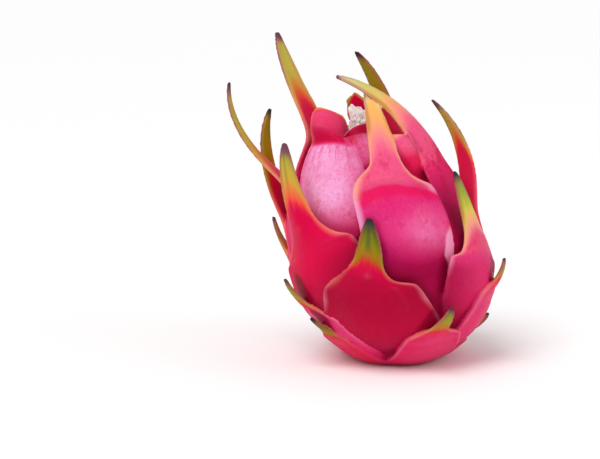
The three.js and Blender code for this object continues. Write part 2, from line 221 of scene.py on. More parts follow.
# How each scale grew, where it isn't by the rule.
grown = {
    -8: dict(azimuth=-58, seat=20, length=18, flare=10, curl=-10, sway=5),
    -2: dict(lift=5.5, length=18, flare=24, curl=-35, sway=6),
    0: dict(azimuth=-15, seat=46.4, lift=5.5, length=35.5, flare=5, curl=-35, sway=19, bend=-6, twist=-3,
        shoulder=23.5, neck=8.5, keel=1.3, crease=0, lip=0, edge=0.7),
    1: dict(azimuth=137, seat=48, length=25, flare=10, curl=-20, sway=-5, bend=5),
    2: dict(azimuth=-100, seat=50, length=25, flare=20, curl=-30, sway=-6, bend=-7),
    3: dict(azimuth=59, seat=51.5, lift=5, skew=-0.26, length=46.2, flare=4, curl=-5, sway=-24, bend=16,
        twist=-20, shoulder=21.4, neck=6.1, keel=0.8, crease=0, lip=0, edge=0.4),
    5: dict(azimuth=-47, seat=62.3, lift=6, skew=0.41, length=52.5, flare=14, curl=-35, bend=5, twist=19,
        shoulder=25.2, neck=7.9, keel=1.7, crease=0, lip=0, edge=0.25),
    6: dict(azimuth=106, seat=63.9, length=60.8, flare=31, curl=-55, sway=5, bend=-2, twist=32,
        shoulder=18.1, neck=6.1),
    7: dict(azimuth=-104, seat=65.5, length=63.1, flare=22, curl=-55, sway=-4, bend=-3, twist=-33,
        shoulder=17.9, neck=5.5),
    8: dict(azimuth=15, seat=85.9, lift=6, bulge=0.12, skew=0.08, corner=0.23, length=52.7, flare=20,
        curl=-41, sway=10, bend=5, twist=-3, shoulder=20.5, neck=7.8, keel=0.3, crease=0.65, creaseAt=0.06,
        slant=-0.045, arch=0.07, creaseWidth=0.05, lip=0.3, edge=0.8),
    9: dict(azimuth=145, seat=92.4, length=59.9, flare=44, curl=-64, sway=-4, bend=-8, twist=-2,
        shoulder=17, neck=7.4),
    10: dict(azimuth=-93, seat=83.4, length=60.5, flare=67, curl=-81, sway=-1, bend=-2, twist=-20,
        shoulder=14.1, neck=3.9),
    11: dict(azimuth=65, seat=90, lift=7, length=62.2, flare=32, curl=-77.5, sway=-22, bend=4, twist=-20,
        shoulder=15.1, neck=8.2, crease=0, lip=0, edge=0),
    12: dict(azimuth=197, seat=104, length=10, flare=10, curl=0, shoulder=13, neck=8, cutSlope=0),
    13: dict(azimuth=-33, seat=109.78, foot=53, belly=2.6, bulge=0.75, length=15.55, flare=12, curl=0,
        sway=8, twist=42, shoulder=11.68, neck=6.04, cutSlope=-0.07, crease=1.1, creaseAt=-0.015,
        creaseWidth=0.04, keel=0, lip=0, edge=0.2),
    14: dict(azimuth=49.5, seat=90, lift=3.2, length=21.8, flare=31, curl=-20, sway=-8, twist=22,
        shoulder=13, neck=9, cutSlope=-0.3, crease=0, lip=0, keel=0, edge=0),
    15: dict(azimuth=-113, seat=107.8, length=53.3, flare=52, curl=-30, sway=-6, bend=2, twist=-19,
        shoulder=10.9, neck=8.1),
    16: dict(azimuth=18, length=5, flare=10, curl=0, shoulder=10, neck=9, cutSlope=0.2, crease=0.4,
        creaseAt=-0.06, keel=0, edge=0),
    17: dict(azimuth=155, seat=109.7, length=19.2, flare=36, curl=0, sway=-7, shoulder=6.5, neck=5.6,
        cutSlope=-0.1, cutPeak=0.7),
    18: dict(azimuth=93, seat=93, lift=4.2, length=24, flare=20, curl=-40, sway=4, shoulder=16, neck=6.5),
}

# How each scale ripened, and the light and shade painted on it. turn: share of the blade where the red
# gives way; green: from yellow to green above it; tip: share that has dried dark; red: its flesh, from pink
# to crimson; pale: lighter flesh; bloomAndSheen: lilac on the panel, its own waxy coat with a painted sheen
# over it;
# deepShade: painted shade that darkens the flesh; mottle: crimson blotches; veins: deeper lines up the panel;
# fold: a dark line up the middle of the back; rim: how pale its margins are, and rimRight where the right one
# differs; creaseShade: crimson painted shade below the crease; lip: peach above it; open: how little painted
# shade it takes where others stand close; sideShade: painted shade, deeper towards its right margin, or below
# 0 towards the left.
# Each is one number, or (place, value) pairs along the scale: -1 foot, 0 seat, 1 tip. Only patch is something
# else: the middle and spread of the bloomAndSheen across the panel.
ripened = {
    -8: dict(turn=0.2, green=1, tip=0.12, red=0.95, pale=0, fold=0.4, rim=0.2),
    0: dict(turn=0.39, green=1, tip=0.15, red=[(-0.9, 0.8), (-0.5, 1)], pale=0, bloomAndSheen=0,
        deepShade=[(-0.8, 0.5), (-0.45, 0.6), (-0.1, 0.8), (0.15, 0.6), (0.32, 0.2)], mottle=0.3, fold=1,
        rim=[(-0.35, 0.1), (-0.15, 0.6), (0, 0.3)], creaseShade=0, lip=0),
    3: dict(turn=0.36, green=0.9, tip=0.08, red=[(-0.5, 0.8), (-0.1, 0.6), (0, 0.4)],
        pale=[(-0.1, 0.3), (0.1, 0.46)], bloomAndSheen=0, sideShade=-0.9, fold=0.3, rim=[(-0.25, 0), (-0.05, 0.5)],
        creaseShade=0, lip=0),
    5: dict(turn=0.46, green=0.03, tip=0.11, red=1, pale=0, bloomAndSheen=0,
        deepShade=[(-0.9, 1), (-0.45, 0.7), (-0.1, 0.1)], sideShade=0.9, mottle=0.3, fold=0.5,
        rim=[(-0.12, 0), (0.03, 0.4)], creaseShade=0, lip=0),
    6: dict(turn=0.62, green=0.1, tip=0.08, red=0.85, pale=0.31, fold=0.2, rim=0.12, open=0.7),
    7: dict(turn=0.47, green=1, tip=0.06, red=0.95, pale=0.2, fold=0.2, rim=0.4, open=0.9),
    8: dict(turn=0.42, green=0, tip=0.01,
        red=[(-0.8, 0.5), (-0.5, 0.15), (-0.15, 0.1), (-0.02, 0.3), (0.08, 0.35), (0.2, 0.12)],
        pale=[(-0.6, 0.05), (-0.35, 0.14), (0.02, 0.1), (0.14, 0.5)],
        bloomAndSheen=[(-0.8, 0), (-0.62, 0.16), (-0.46, 0.32), (-0.3, 0.22), (-0.12, 0)], patch=(0.46, 0.5),
        deepShade=[(-0.95, 1.1), (-0.76, 0.85), (-0.6, 0.35), (-0.42, 0)],
        sideShade=[(-0.9, -0.9), (-0.55, -0.8), (-0.35, 0)], mottle=0.5,
        veins=[(-0.6, 0), (-0.3, 0.35), (-0.08, 0.2), (0, 0)], fold=0,
        rim=[(-0.5, 0.2), (-0.3, 1), (0.3, 0.9)],
        # The pale crescent low on the right margin is a painted highlight.
        rimRight=[(-0.88, 0), (-0.7, 2.4), (-0.52, 1.6), (-0.4, 0), (-0.1, 0), (-0.02, 0.9), (0.05, 0.9)],
        creaseShade=0.65, lip=0.1, open=0.4),
    9: dict(turn=0.45, green=0.86, tip=0.08, red=0.8, pale=0.3, fold=0.2, rim=0.2),
    10: dict(turn=0.27, green=0.6, tip=0.1, red=0.7, pale=0.36, fold=0, rim=0.5),
    11: dict(turn=0.47, green=0.25, tip=0.03, red=[(-0.2, 0.5), (0.05, 0.5), (0.3, 0.15)],
        pale=[(-0.4, 0), (0, 0.05), (0.15, 0.42)], bloomAndSheen=0,
        deepShade=[(-0.9, 1.3), (-0.5, 1.2), (-0.2, 0.8), (0.08, 0)],
        mottle=[(-0.5, 0.9), (0.12, 1.2), (0.3, 0.3)], fold=0, rim=[(0.1, 0), (0.35, 0.7)], creaseShade=0, lip=0),
    12: dict(turn=0.9, green=0.3, tip=0, red=0.5, pale=0.4, fold=0, rim=0.4),
    13: dict(turn=0.96, green=0, tip=0,
        red=[(-0.9, 0.4), (-0.6, 0.3), (-0.05, 0.2), (0, 1), (0.15, 1), (0.4, 0.65), (0.8, 0.45)],
        pale=[(-0.9, 0.3), (-0.7, 0.6), (-0.5, 0.9), (-0.03, 0.9), (0.01, 0), (0.8, 0.3)],
        bloomAndSheen=[(-0.85, 0.1), (-0.66, 0.6), (-0.5, 1), (-0.07, 0.9), (-0.03, 0)], patch=(0, 1.1),
        deepShade=[(-0.02, 0), (0.06, 0.5), (0.3, 0.3), (0.5, 0)], sideShade=0.25,
        mottle=[(-0.75, 0.6), (-0.5, 0.35), (-0.3, 0)],
        veins=[(-0.4, 0), (-0.22, 0.7), (-0.06, 1), (0, 0.3)], fold=0, rim=0.3, creaseShade=0, lip=0, open=0.9),
    14: dict(turn=0.98, green=0, tip=0, red=[(0, 1), (0.5, 0.9), (0.72, 0.1)], pale=[(0.5, 0), (0.75, 0.9)],
        fold=0, rim=0, mottle=[(0.4, 1), (0.75, 0.3)], bloomAndSheen=[(0.55, 0), (0.75, 0.5)], creaseShade=0, lip=0,
        deepShade=[(0, 0.5), (0.35, 0), (0.93, 0), (0.98, 1)], open=0.6),
    15: dict(turn=0.37, green=0.25, tip=0.08, red=0.95, pale=0.3, fold=0.1, rim=0.5, open=0.9),
    16: dict(turn=0.98, green=0, tip=0, red=[(-0.4, 0.3), (-0.1, 0.4), (0, 1)], pale=0.7, bloomAndSheen=0.35,
        deepShade=[(-0.1, 0.1), (0, 0.4), (0.1, 0.7)], mottle=0.8, veins=0.5, fold=0, rim=0, creaseShade=0, lip=0),
    17: dict(turn=0.94, green=0.7, tip=0, red=1, pale=0.1, fold=0, rim=0.1, open=1),
}

# The tones that a scale has where they aren't given.
usual = dict(turn=0.4, green=0.6, tip=0.1, red=0.65, pale=0.22, bloomAndSheen=0.05,
    deepShade=[(-1, 0.9), (-0.8, 0.5), (-0.5, 0)], mottle=0.4, veins=0, fold=0.2, rim=0.35, creaseShade=0.15, lip=0.05,
    open=0)


# A tone at places along a scale, from one number or (place, value) pairs.
def toneAt(tone, along):
    places, values = zip(*tone) if isinstance(tone, list) else ((0,), (tone,))
    return np.interp(along, places, values)


# Repeatable number from -1 to 1 for a scale and a purpose: the fraction of a large multiple of a sine.
def chance(number, purpose):
    x = math.sin(number * 12.9898 + purpose * 78.233) * 43758.5453
    return 2 * (x - math.floor(x)) - 1


# A scale's place, size and bearing by the spiral rule, then as it grew.
def scaleHabit(number):
    share = (number - spiral["lowest"]) / (spiral["crownFirst"] - spiral["lowest"])
    onRim = number >= spiral["crownFirst"]
    lengthShare = min(max(share, 0), 1) ** growth["lengthPower"]
    widest, crownWidth = growth["girthShoulder"], growth["crownShoulder"]
    habit = {
        "azimuth": spiral["frontAzimuth"] + spiral["turn"] * number
        + growth["azimuthDrift"] * chance(number, 1),
        "seat": spiral["crownSeat"] + spiral["crownRise"] * (number - spiral["crownFirst"])
        if onRim else spiral["frontSeat"] + spiral["rise"] * number,
        "length": blendTo(growth["lowestLength"], growth["crownLength"], lengthShare)
        + growth["lengthDrift"] * chance(number, 2),
        "shoulder": float(blendTo(growth["lowestShoulder"], widest, smoothStep(share, 0, 0.4))
                          + (crownWidth - widest) * smoothStep(share, 0.75, 1)),
        "neck": blendTo(growth["lowestNeck"], growth["crownNeck"], share),
        "flare": growth["flare"] + growth["flareDrift"] * chance(number, 3),
        "curl": growth["curl"] + growth["curlDrift"] * chance(number, 4),
        "sway": growth["sidewaysDrift"] * chance(number, 5),
        "bend": growth["sidewaysDrift"] * chance(number, 6),
        "twist": 0,
        "skew": 0,
        "corner": 0,
        **{key: panel[key] for key in ("foot", "lift", "belly", "bulge")},
        **relief,
    }
    if number in grown:
        habit.update(sway=0, bend=0)
        habit.update(grown[number])
    return habit


# Directions at stations of a scale: along it, out of its back, and across it, from the lean of its back
# out of the upright (slope), its turn sideways (yaw) and its roll about its own length.
def directions(azimuth, slope, yaw, roll):
    out = np.array([math.sin(azimuth), -math.cos(azimuth), 0])
    side = np.array([math.cos(azimuth), math.sin(azimuth), 0])
    climb = columns(np.cos(slope)) * upright + columns(np.sin(slope)) * out
    along = columns(np.cos(yaw)) * climb + columns(np.sin(yaw)) * side
    outward = columns(np.cos(slope)) * out - columns(np.sin(slope)) * upright
    outward = columns(np.cos(roll)) * outward + columns(np.sin(roll)) * np.cross(along, outward)
    return along, outward, np.cross(along, outward)


# Egg angle at a distance along the outline below a start angle, short of the stem end: the outline is
# walked down in half degrees.
def eggAngleBelow(start, distance):
    angle = np.arange(start, body["lowestFoot"], -0.5)
    radius, height, _ = eggOutline(angle)
    walked = np.concatenate([[0], np.cumsum(np.hypot(np.diff(radius), np.diff(height)))])
    return angle[min(int(np.searchsorted(walked, distance)), len(angle) - 1)]


# Half width of a blade at shares s of its length: neck t(s) + (shoulder - neck t(0)) fade(s), where t tapers
# the neck to the tip by a power, and the shoulders fade by a power or end in a corner. A cut-off blade goes
# from shoulder to neck by s^3 and swells a little between.
def bladeHalfWidth(habit, s, corner):
    if "cutSlope" in habit:
        return blendTo(habit["shoulder"], habit["neck"], s**3) * (1 + blade["cutSwell"] * np.sin(np.pi * s))

    def taper(share):
        return ((1 - (1 - blade["bluntness"]) * share) / (1 - blade["neckShare"])) ** blade["taperPower"]

    fade = np.clip(1 - s / blade["shoulderShare"], 0, 1) ** blade["shoulderPower"]
    if corner:
        fade = 1 - np.minimum(s / corner, 1) ** 2
    return habit["neck"] * taper(s) + (habit["shoulder"] - habit["neck"] * taper(0.0)) * fade


# One scale as closed rings, from the foot of its panel to its tip. The back follows the egg up to the seat,
# then turns by slope(s) = seat + flare (1 - e^(-s/f)) + curl s^p; each ring is an arc of the back's
# radius across, and the same arc again one thickness further in.
# With it come along (-1 foot, 0 seat, 1 tip), across (-1..1), inner (0 back, 1 face) and the distance
# from the crease of each point.
def scaleSurface(number):
    habit = scaleHabit(number)
    azimuth = math.radians(habit["azimuth"])
    seatAngle = math.degrees(math.asin(
        (habit["seat"] - body["girthHeight"])
        / (body["girthHeight"] if habit["seat"] < body["girthHeight"] else body["upperHeight"])))
    footAngle = eggAngleBelow(seatAngle, habit["foot"])

    share = np.linspace(0, 1, panel["rows"])
    below = 1 - share
    radius, height, slope = eggOutline(blendTo(footAngle, seatAngle, share))
    along, outward, across = directions(azimuth, slope, 0 * share, 0 * share)
    lift = (habit["lift"] * share ** panel["liftPower"] + habit["belly"] * np.sin(np.pi * share)
            - panel["footSink"] * below**2)
    out = np.array([math.sin(azimuth), -math.cos(azimuth), 0])
    spine = columns(radius) * out + columns(height) * upright + columns(lift) * outward
    bulging = 1 + habit["bulge"] * np.sin(panel["bulgeSpan"] * np.pi * below)
    halfWidth = habit["shoulder"] * bulging * np.sqrt(1 - panel["footTaper"] * below**5)
    backRadius = panel["flatness"] * radius / np.cos(slope)
    thickness = np.full(len(share), float(panel["thickness"]))

    s = np.linspace(0, 1, blade["rows"] + 1)[1:]
    step = s[0]

    def slopeAt(x):
        flared = math.radians(habit["flare"]) * (1 - np.exp(-x / blade["flareShare"]))
        curled = math.radians(habit["curl"]) * x ** blade["curlPower"]
        return slope[-1] + math.radians(blade["seatTurn"]) + flared + curled

    def yawAt(x):
        return (math.radians(habit["sway"]) * smoothStep(x, 0, blade["swayShare"])
                + math.radians(habit["bend"]) * x ** blade["bendPower"])

    middle = s - step / 2
    headings = directions(azimuth, slopeAt(middle), yawAt(middle), 0 * s)[0]
    bladeSpine = spine[-1] + np.cumsum(headings, axis=0) * habit["length"] * step
    rounding = smoothStep(s, 0, blade["roundedShare"])
    turned = directions(azimuth, slopeAt(s), yawAt(s), math.radians(habit["twist"]) * rounding)
    fleshy = blendTo(panel["thickness"], blade["thickness"], smoothStep(s, 0, blade["fleshyShare"]))

    spine = np.concatenate([spine, bladeSpine])
    along, outward, across = (np.concatenate(pair) for pair in zip((along, outward, across), turned))
    wave = np.sin(s * blade["waverRate"] + 6 * chance(number, 7))
    waver = 1 + blade["waver"] * wave * smoothStep(s, 0.2, 0.5)
    # The corners at the seat are rounded by averaging the widths near them.
    reach = blade["cornerReach"]
    sides = np.stack([np.concatenate([halfWidth, bladeHalfWidth(habit, s, corner) * waver])
                      for corner in (habit["corner"], 0)])
    around = np.pad(sides, ((0, 0), (reach, reach)), mode="edge")
    last = panel["rows"] + 2 * reach + int(habit["corner"] * blade["rows"])
    near = slice(panel["rows"] - 2 * reach - 1, last)
    weights = np.bartlett(2 * reach + 3)[1:-1] / (reach + 1)
    rounded = np.stack([np.convolve(side, weights, mode="valid") for side in around])
    sides[:, near] = rounded[:, near]
    backRadius = np.concatenate(
        [backRadius, 1 / ((1 - rounding) / backRadius[-1] + rounding / blade["backRadius"])])
    thickness = np.concatenate([thickness, blendTo(fleshy, blade["tipThickness"], s)])
    bladeShare = np.concatenate([0 * share, s])
    place = np.concatenate([-below, s])

    q = np.linspace(-1, 1, blade["across"] + 1)
    off = np.abs(q)
    halfWidth = np.where(q < 0, columns(sides[0]), columns(sides[1]))
    angle = halfWidth * q / columns(backRadius)
    normal = (np.cos(angle)[..., None] * outward[:, None] + np.sin(angle)[..., None] * across[:, None])
    cut = habit.get("cutSlope", 0) * q - habit.get("cutPeak", 0) * off
    shift = columns(bladeShare) * cut + columns((1 - bladeShare) ** 3) * habit["skew"] * q
    back = (spine[:, None] + (normal - outward[:, None]) * backRadius[:, None, None]
            + (halfWidth * shift)[..., None] * along[:, None])
    free = smoothStep(place, -0.22, 0.05)  # where the scale leaves the body
    rim = blade["rimLift"] * smoothStep(off, 0.6, 1) * columns(free * (1 - 0.6 * bladeShare))
    keeled = smoothStep(bladeShare, 0.03, 0.25) * (1 - 0.5 * bladeShare)
    keel = habit["keel"] * (1 - off) ** 1.6 * columns(keeled)
    wall = blendTo(columns(thickness), blade["marginThickness"], q * q)
    face = back - normal * (wall - rim)[..., None]

    scallop = 0.006 * np.sin(q * 5 + number) + 0.004 * np.sin(q * 13)
    fromCrease = columns(place) - (habit["creaseAt"] + habit["slant"] * q - habit["arch"] * q * q + scallop)
    width = habit["creaseWidth"]
    crease = -habit["crease"] * bell(fromCrease, 0, width) * (1 - off**4)
    lip = habit["lip"] * bell(fromCrease, 1.5 * width, width)
    upper = columns(hump(place, -0.6, -0.25, 0, 0.12))  # the upper part of the panel
    edge = habit["edge"] * smoothStep(off, 0.8, 0.96) * upper
    gutter = -0.5 * habit["edge"] * bell(off, habit["gutterAt"], habit["gutterWidth"]) * upper
    back = back + normal * (rim + keel + crease + lip + edge + gutter)[..., None]

    rings = np.concatenate([back, face[:, ::-1]], axis=1)
    acrossOf = np.broadcast_to(np.concatenate([q, q[::-1]]), rings.shape[:2])
    innerOf = np.broadcast_to(np.concatenate([0 * q, 0 * q + 1]), rings.shape[:2])
    alongOf = np.broadcast_to(columns(place), rings.shape[:2])
    creaseOf = np.concatenate([fromCrease, fromCrease[:, ::-1]], axis=1)
    return rings, alongOf, acrossOf, innerOf, creaseOf


peelMesh = {
    "voxel": 0.5,
    "evenRounds": 5,  # of softening everywhere
    "softenRounds": 14,  # and more where scales have grown onto the body
    "softenShare": 0.5,
    "triangles": 190000,
    "mergeWithin": 0.02,
    "nearRounds": 8,  # the surface just around a point, for its height
    "nearReach": 0.35,
    "wideRounds": 50,  # and the surface further around it
    "wideReach": 2.0,
}


# Bends upright points to the left by bow (z / bowHeight)^2, leans them, and stands them so that the
# egg's lowest point is over the origin, flatDepth below the floor.
def stood(points):
    points = points.copy()
    points[:, 0] -= stance["bow"] * (points[:, 2] / stance["bowHeight"]) ** 2
    lean = math.radians(stance["lean"])
    radius, girth = body["radius"], body["girthHeight"]
    spread = math.hypot(radius * math.sin(lean), girth * math.cos(lean))
    turned = np.array([[math.cos(lean), 0, -math.sin(lean)], [0, 1, 0], [math.sin(lean), 0, math.cos(lean)]])
    lowest = turned @ [-radius**2 * math.sin(lean) / spread, 0, girth - girth**2 * math.cos(lean) / spread]
    return points @ turned.T - lowest - [0, 0, stance["flatDepth"]]


# The values on rings as one list, with the mean of the first ring and of the last one at its end.
def withEnds(rings):
    flat = rings.reshape(-1, *rings.shape[2:])
    return np.concatenate([flat, rings[:1].mean(axis=1), rings[-1:].mean(axis=1)])


# Quads between neighbouring rings, and the triangles of a fan over each end.
def ringFaces(rows, count):
    row, col = np.meshgrid(np.arange(rows - 1), np.arange(count), indexing="ij")
    a = (row * count + col).ravel()
    b = (row * count + (col + 1) % count).ravel()
    quads = np.stack([a, b, b + count, a + count], axis=1)
    i = np.arange(count)
    j = (i + 1) % count
    top = (rows - 1) * count
    low = np.stack([j, i, np.full(count, rows * count)], axis=1)
    high = np.stack([top + i, top + j, np.full(count, rows * count + 1)], axis=1)
    return quads, np.concatenate([low, high])


# Mesh with its points and its quads and triangles put in as whole arrays.
def meshFrom(name, points, quads, triangles):
    mesh = bpy.data.meshes.new(name)
    mesh.vertices.add(len(points))
    mesh.vertices.foreach_set("co", np.ascontiguousarray(points * mm, dtype=np.float32).ravel())
    corners = np.concatenate([quads.ravel(), triangles.ravel()]).astype(np.int32)
    starts = np.concatenate([np.arange(len(quads)) * 4, len(quads) * 4 + np.arange(len(triangles)) * 3])
    mesh.loops.add(len(corners))
    mesh.loops.foreach_set("vertex_index", corners)
    mesh.polygons.add(len(starts))
    mesh.polygons.foreach_set("loop_start", starts.astype(np.int32))
    mesh.update(calc_edges=True)
    mesh.validate()
    return mesh


def pieceFrom(name, mesh):
    piece = bpy.data.objects.new(name, mesh)
    bpy.context.scene.collection.objects.link(piece)
    return piece


# The piece with its modifiers worked into its mesh.
def finished(piece):
    bpy.context.view_layer.update()
    graph = bpy.context.evaluated_depsgraph_get()
    mesh = bpy.data.meshes.new_from_object(
        piece.evaluated_get(graph), preserve_all_data_layers=True, depsgraph=graph)
    piece.modifiers.clear()
    piece.data = mesh
    return piece


# What each item of a mesh holds under a name, as rows of the given width.
def rowsOf(items, name, width, kind=np.float32):
    flat = np.empty(len(items) * width, dtype=kind)
    items.foreach_get(name, flat)
    return flat.reshape(-1, width)


def pointsOf(mesh):
    return rowsOf(mesh.vertices, "co", 3).astype(float) / mm


# Puts three numbers on each point under a name.
def setPaint(mesh, name, values):
    layer = mesh.color_attributes.new(name, "FLOAT_COLOR", "POINT")
    rgba = np.concatenate([values, np.ones((len(values), 1))], axis=1).astype(np.float32)
    layer.data.foreach_set("color", rgba.ravel())


def shadeSmooth(mesh):
    mesh.polygons.foreach_set("use_smooth", np.ones(len(mesh.polygons), dtype=bool))
    mesh.update()


# Merges points that fell together and drops faces without area, and the bits that hang loose then.
def cleaned(mesh):
    work = bmesh.new()
    work.from_mesh(mesh)
    bmesh.ops.remove_doubles(work, verts=work.verts, dist=peelMesh["mergeWithin"] * mm)
    bmesh.ops.dissolve_degenerate(work, edges=work.edges, dist=peelMesh["mergeWithin"] * mm)
    bmesh.ops.delete(work, geom=[v for v in work.verts if not v.link_faces], context="VERTS")
    bmesh.ops.triangulate(work, faces=[face for face in work.faces if len(face.verts) > 3])
    work.to_mesh(mesh)
    work.free()


# Moves each point towards the mean of its neighbours by a weight, one for all or its own, a number of times.
def soften(points, edges, weight, rounds):
    count = len(points)
    weight = columns(np.broadcast_to(weight, count))
    a, b = edges[:, 0], edges[:, 1]
    neighbours = np.bincount(a, minlength=count) + np.bincount(b, minlength=count)
    for _ in range(rounds):
        total = np.stack([np.bincount(a, points[b, k], count) + np.bincount(b, points[a, k], count)
                          for k in range(3)], axis=1)
        points = points + weight * (total / columns(neighbours) - points)
    return points


paints = ("place", "flesh", "ripeness", "margins", "marks", "shade")


# All shells in one mesh, each overlapping the next, with their places and ripeness painted on the points:
# place = along, across, inner; flesh = red, pale, bloomAndSheen; ripeness = turn, green, tip;
# margins = fold, rim, creaseShade; marks = veins, lip, mottle; shade = deepShade, the scale's own number,
# open.
# Of these, bloomAndSheen carries a painted sheen, and creaseShade, deepShade and open carry painted shade.
def peelShells():
    points, quads, triangles = [], [], []
    painted = {name: [] for name in paints}
    count = 0

    def put(rings, along, across, inner, fromCrease, tones, tone):
        nonlocal count
        fresh = withEnds(rings)
        someQuads, someTriangles = ringFaces(*rings.shape[:2])
        points.append(fresh)
        quads.append(someQuads + count)
        triangles.append(someTriangles + count)
        count += len(fresh)
        along, across, inner, fromCrease = map(withEnds, (along, across, inner, fromCrease))
        # Where a panel runs into the body it takes the body's own tones.
        own = smoothStep(along, -1, -0.55) * (1 - smoothStep(np.abs(across), 0.75, 1) * (along < -0.35))
        t = {key: blendTo(toneAt(usual[key], along), toneAt(tones[key], along), own) for key in usual}
        # Painted shade, deeper towards one margin of the panel.
        sideShade = np.maximum(toneAt(tones.get("sideShade", 0), along) * across, 0) * smoothStep(along, 0.05, -0.15)
        t["deepShade"] = toneAt(tones["deepShade"], along) + sideShade
        t["open"] = toneAt(tones["open"], along)
        # The painted sheen on the panel lies in a patch across it.
        middle, spread = tones.get("patch", (0.1, 0.7))
        t["bloomAndSheen"] = t["bloomAndSheen"] * bell(across, middle, spread)
        right = toneAt(tones.get("rimRight", tones["rim"]), along)
        rim = np.where(across > 0, right, toneAt(tones["rim"], along))
        if not isinstance(tones["rim"], list):
            rim = rim * smoothStep(along, -0.7, -0.15)
        below = hump(fromCrease, -0.17, -0.05, 0.0, 0.04)
        above = hump(fromCrease, 0.0, 0.03, 0.05, 0.12)
        paint = {
            "place": ((along + 1) / 2, (across + 1) / 2, inner),
            "flesh": (t["red"], t["pale"], t["bloomAndSheen"]),
            "ripeness": [toneAt(tones[key], along) for key in ("turn", "green", "tip")],
            "margins": (t["fold"], rim, t["creaseShade"] * below),
            "marks": (t["veins"], t["lip"] * above, t["mottle"]),
            "shade": (t["deepShade"], 0 * along + tone, t["open"]),
        }
        for name in paints:
            painted[name].append(np.stack(paint[name], axis=1))

    rings = bodySurface()
    flat = np.zeros(rings.shape[:2])
    # The body shows only in the gaps between scales and is painted dark there, as shade.
    put(rings, flat - 0.6, flat, flat, flat - 1, dict(usual, deepShade=0.9, bloomAndSheen=0.0, rim=0.0), 0.5)
    for number in range(spiral["lowest"], spiral["highest"] + 1):
        tones = {**usual, "turn": usual["turn"] + 0.08 * chance(number, 8),
                 "red": usual["red"] + 0.2 * chance(number, 9), **ripened.get(number, {})}
        put(*scaleSurface(number), tones, 0.5 + 0.5 * chance(number, 10))
    points, quads, triangles = map(np.concatenate, (points, quads, triangles))
    mesh = meshFrom("peelShells", stood(points), quads, triangles)
    for name in paints:
        setPaint(mesh, name, np.concatenate(painted[name]))
    return mesh


# Gives the piece's points the paints of the nearest places on the source.
def takePaint(piece, source):
    for name in paints:
        if name not in piece.data.color_attributes:
            piece.data.color_attributes.new(name, "FLOAT_COLOR", "POINT")
    carry = piece.modifiers.new("carry", "DATA_TRANSFER")
    carry.object = source
    carry.use_vert_data = True
    carry.data_types_verts = {"COLOR_VERTEX"}
    carry.vert_mapping = "POLYINTERP_NEAREST"
    carry.layers_vcol_vert_select_src = "ALL"
    carry.layers_vcol_vert_select_dst = "NAME"
    return finished(piece)


# How close other peel stands, from which the material paints shade: cells and blur of the grid, how far in
# front of a point it is read, and the value over the flat one that counts as quite closed in.
crowd = {"cell": 1.2, "blur": 2, "margin": 14, "reach": 3.5, "shutAt": 3}


# Grid of how many of the evenly spread points fall in each cell, blurred twice by a running mean along each
# axis, over the value at the reach in front of a flat surface. With it comes its lowest corner.
def crowdGrid(points):
    cell, blur = crowd["cell"], crowd["blur"]
    low = points.min(axis=0) - crowd["margin"]
    size = np.ceil((points.max(axis=0) + crowd["margin"] - low) / cell).astype(int)
    grid = np.histogramdd((points - low) / cell, bins=size, range=[(0, n) for n in size])[0]
    width = 2 * blur + 1
    for axis in (0, 1, 2, 0, 1, 2):
        grid = sum(np.roll(grid, step, axis=axis) for step in range(-blur, blur + 1)) / width
    flat = (cell / peelMesh["voxel"]) ** 2 * (1 - crowd["reach"] / cell / width) / width
    return grid / flat, low


# The grid's value at points, straight between the cells' middles.
def crowdAt(grid, low, points):
    place = (points - low) / crowd["cell"] - 0.5
    base = np.floor(place).astype(int)
    share = place - base
    total = 0
    for corner in np.ndindex(2, 2, 2):
        weight = np.prod(np.where(corner, share, 1 - share), axis=1)
        total = total + weight * grid[tuple((base + corner).T)]
    return total


# Height of each point over the surface around it, in creases below a half and on ridges above it:
# half + (point - softened point) . normal / (2 reach), at a small reach and at a wide one; and how closely
# other peel stands in front of it. The material paints shade in creases and where others stand close, and
# paler ridges as a painted highlight, from these.
def paintHeight(mesh, grid, low):
    points = pointsOf(mesh)
    normals = rowsOf(mesh.vertex_normals, "vector", 3)
    edges = rowsOf(mesh.edges, "vertices", 2, np.int32)
    near = soften(points, edges, peelMesh["softenShare"], peelMesh["nearRounds"])
    wide = soften(near, edges, peelMesh["softenShare"], peelMesh["wideRounds"])
    small = ((points - near) * normals).sum(axis=1) / peelMesh["nearReach"]
    large = ((points - wide) * normals).sum(axis=1) / peelMesh["wideReach"]
    crowded = (crowdAt(grid, low, points + normals * crowd["reach"]) - 1) / crowd["shutAt"]
    setPaint(mesh, "height", np.clip(np.stack([0.5 + small / 2, 0.5 + large / 2, crowded], axis=1), 0, 1))


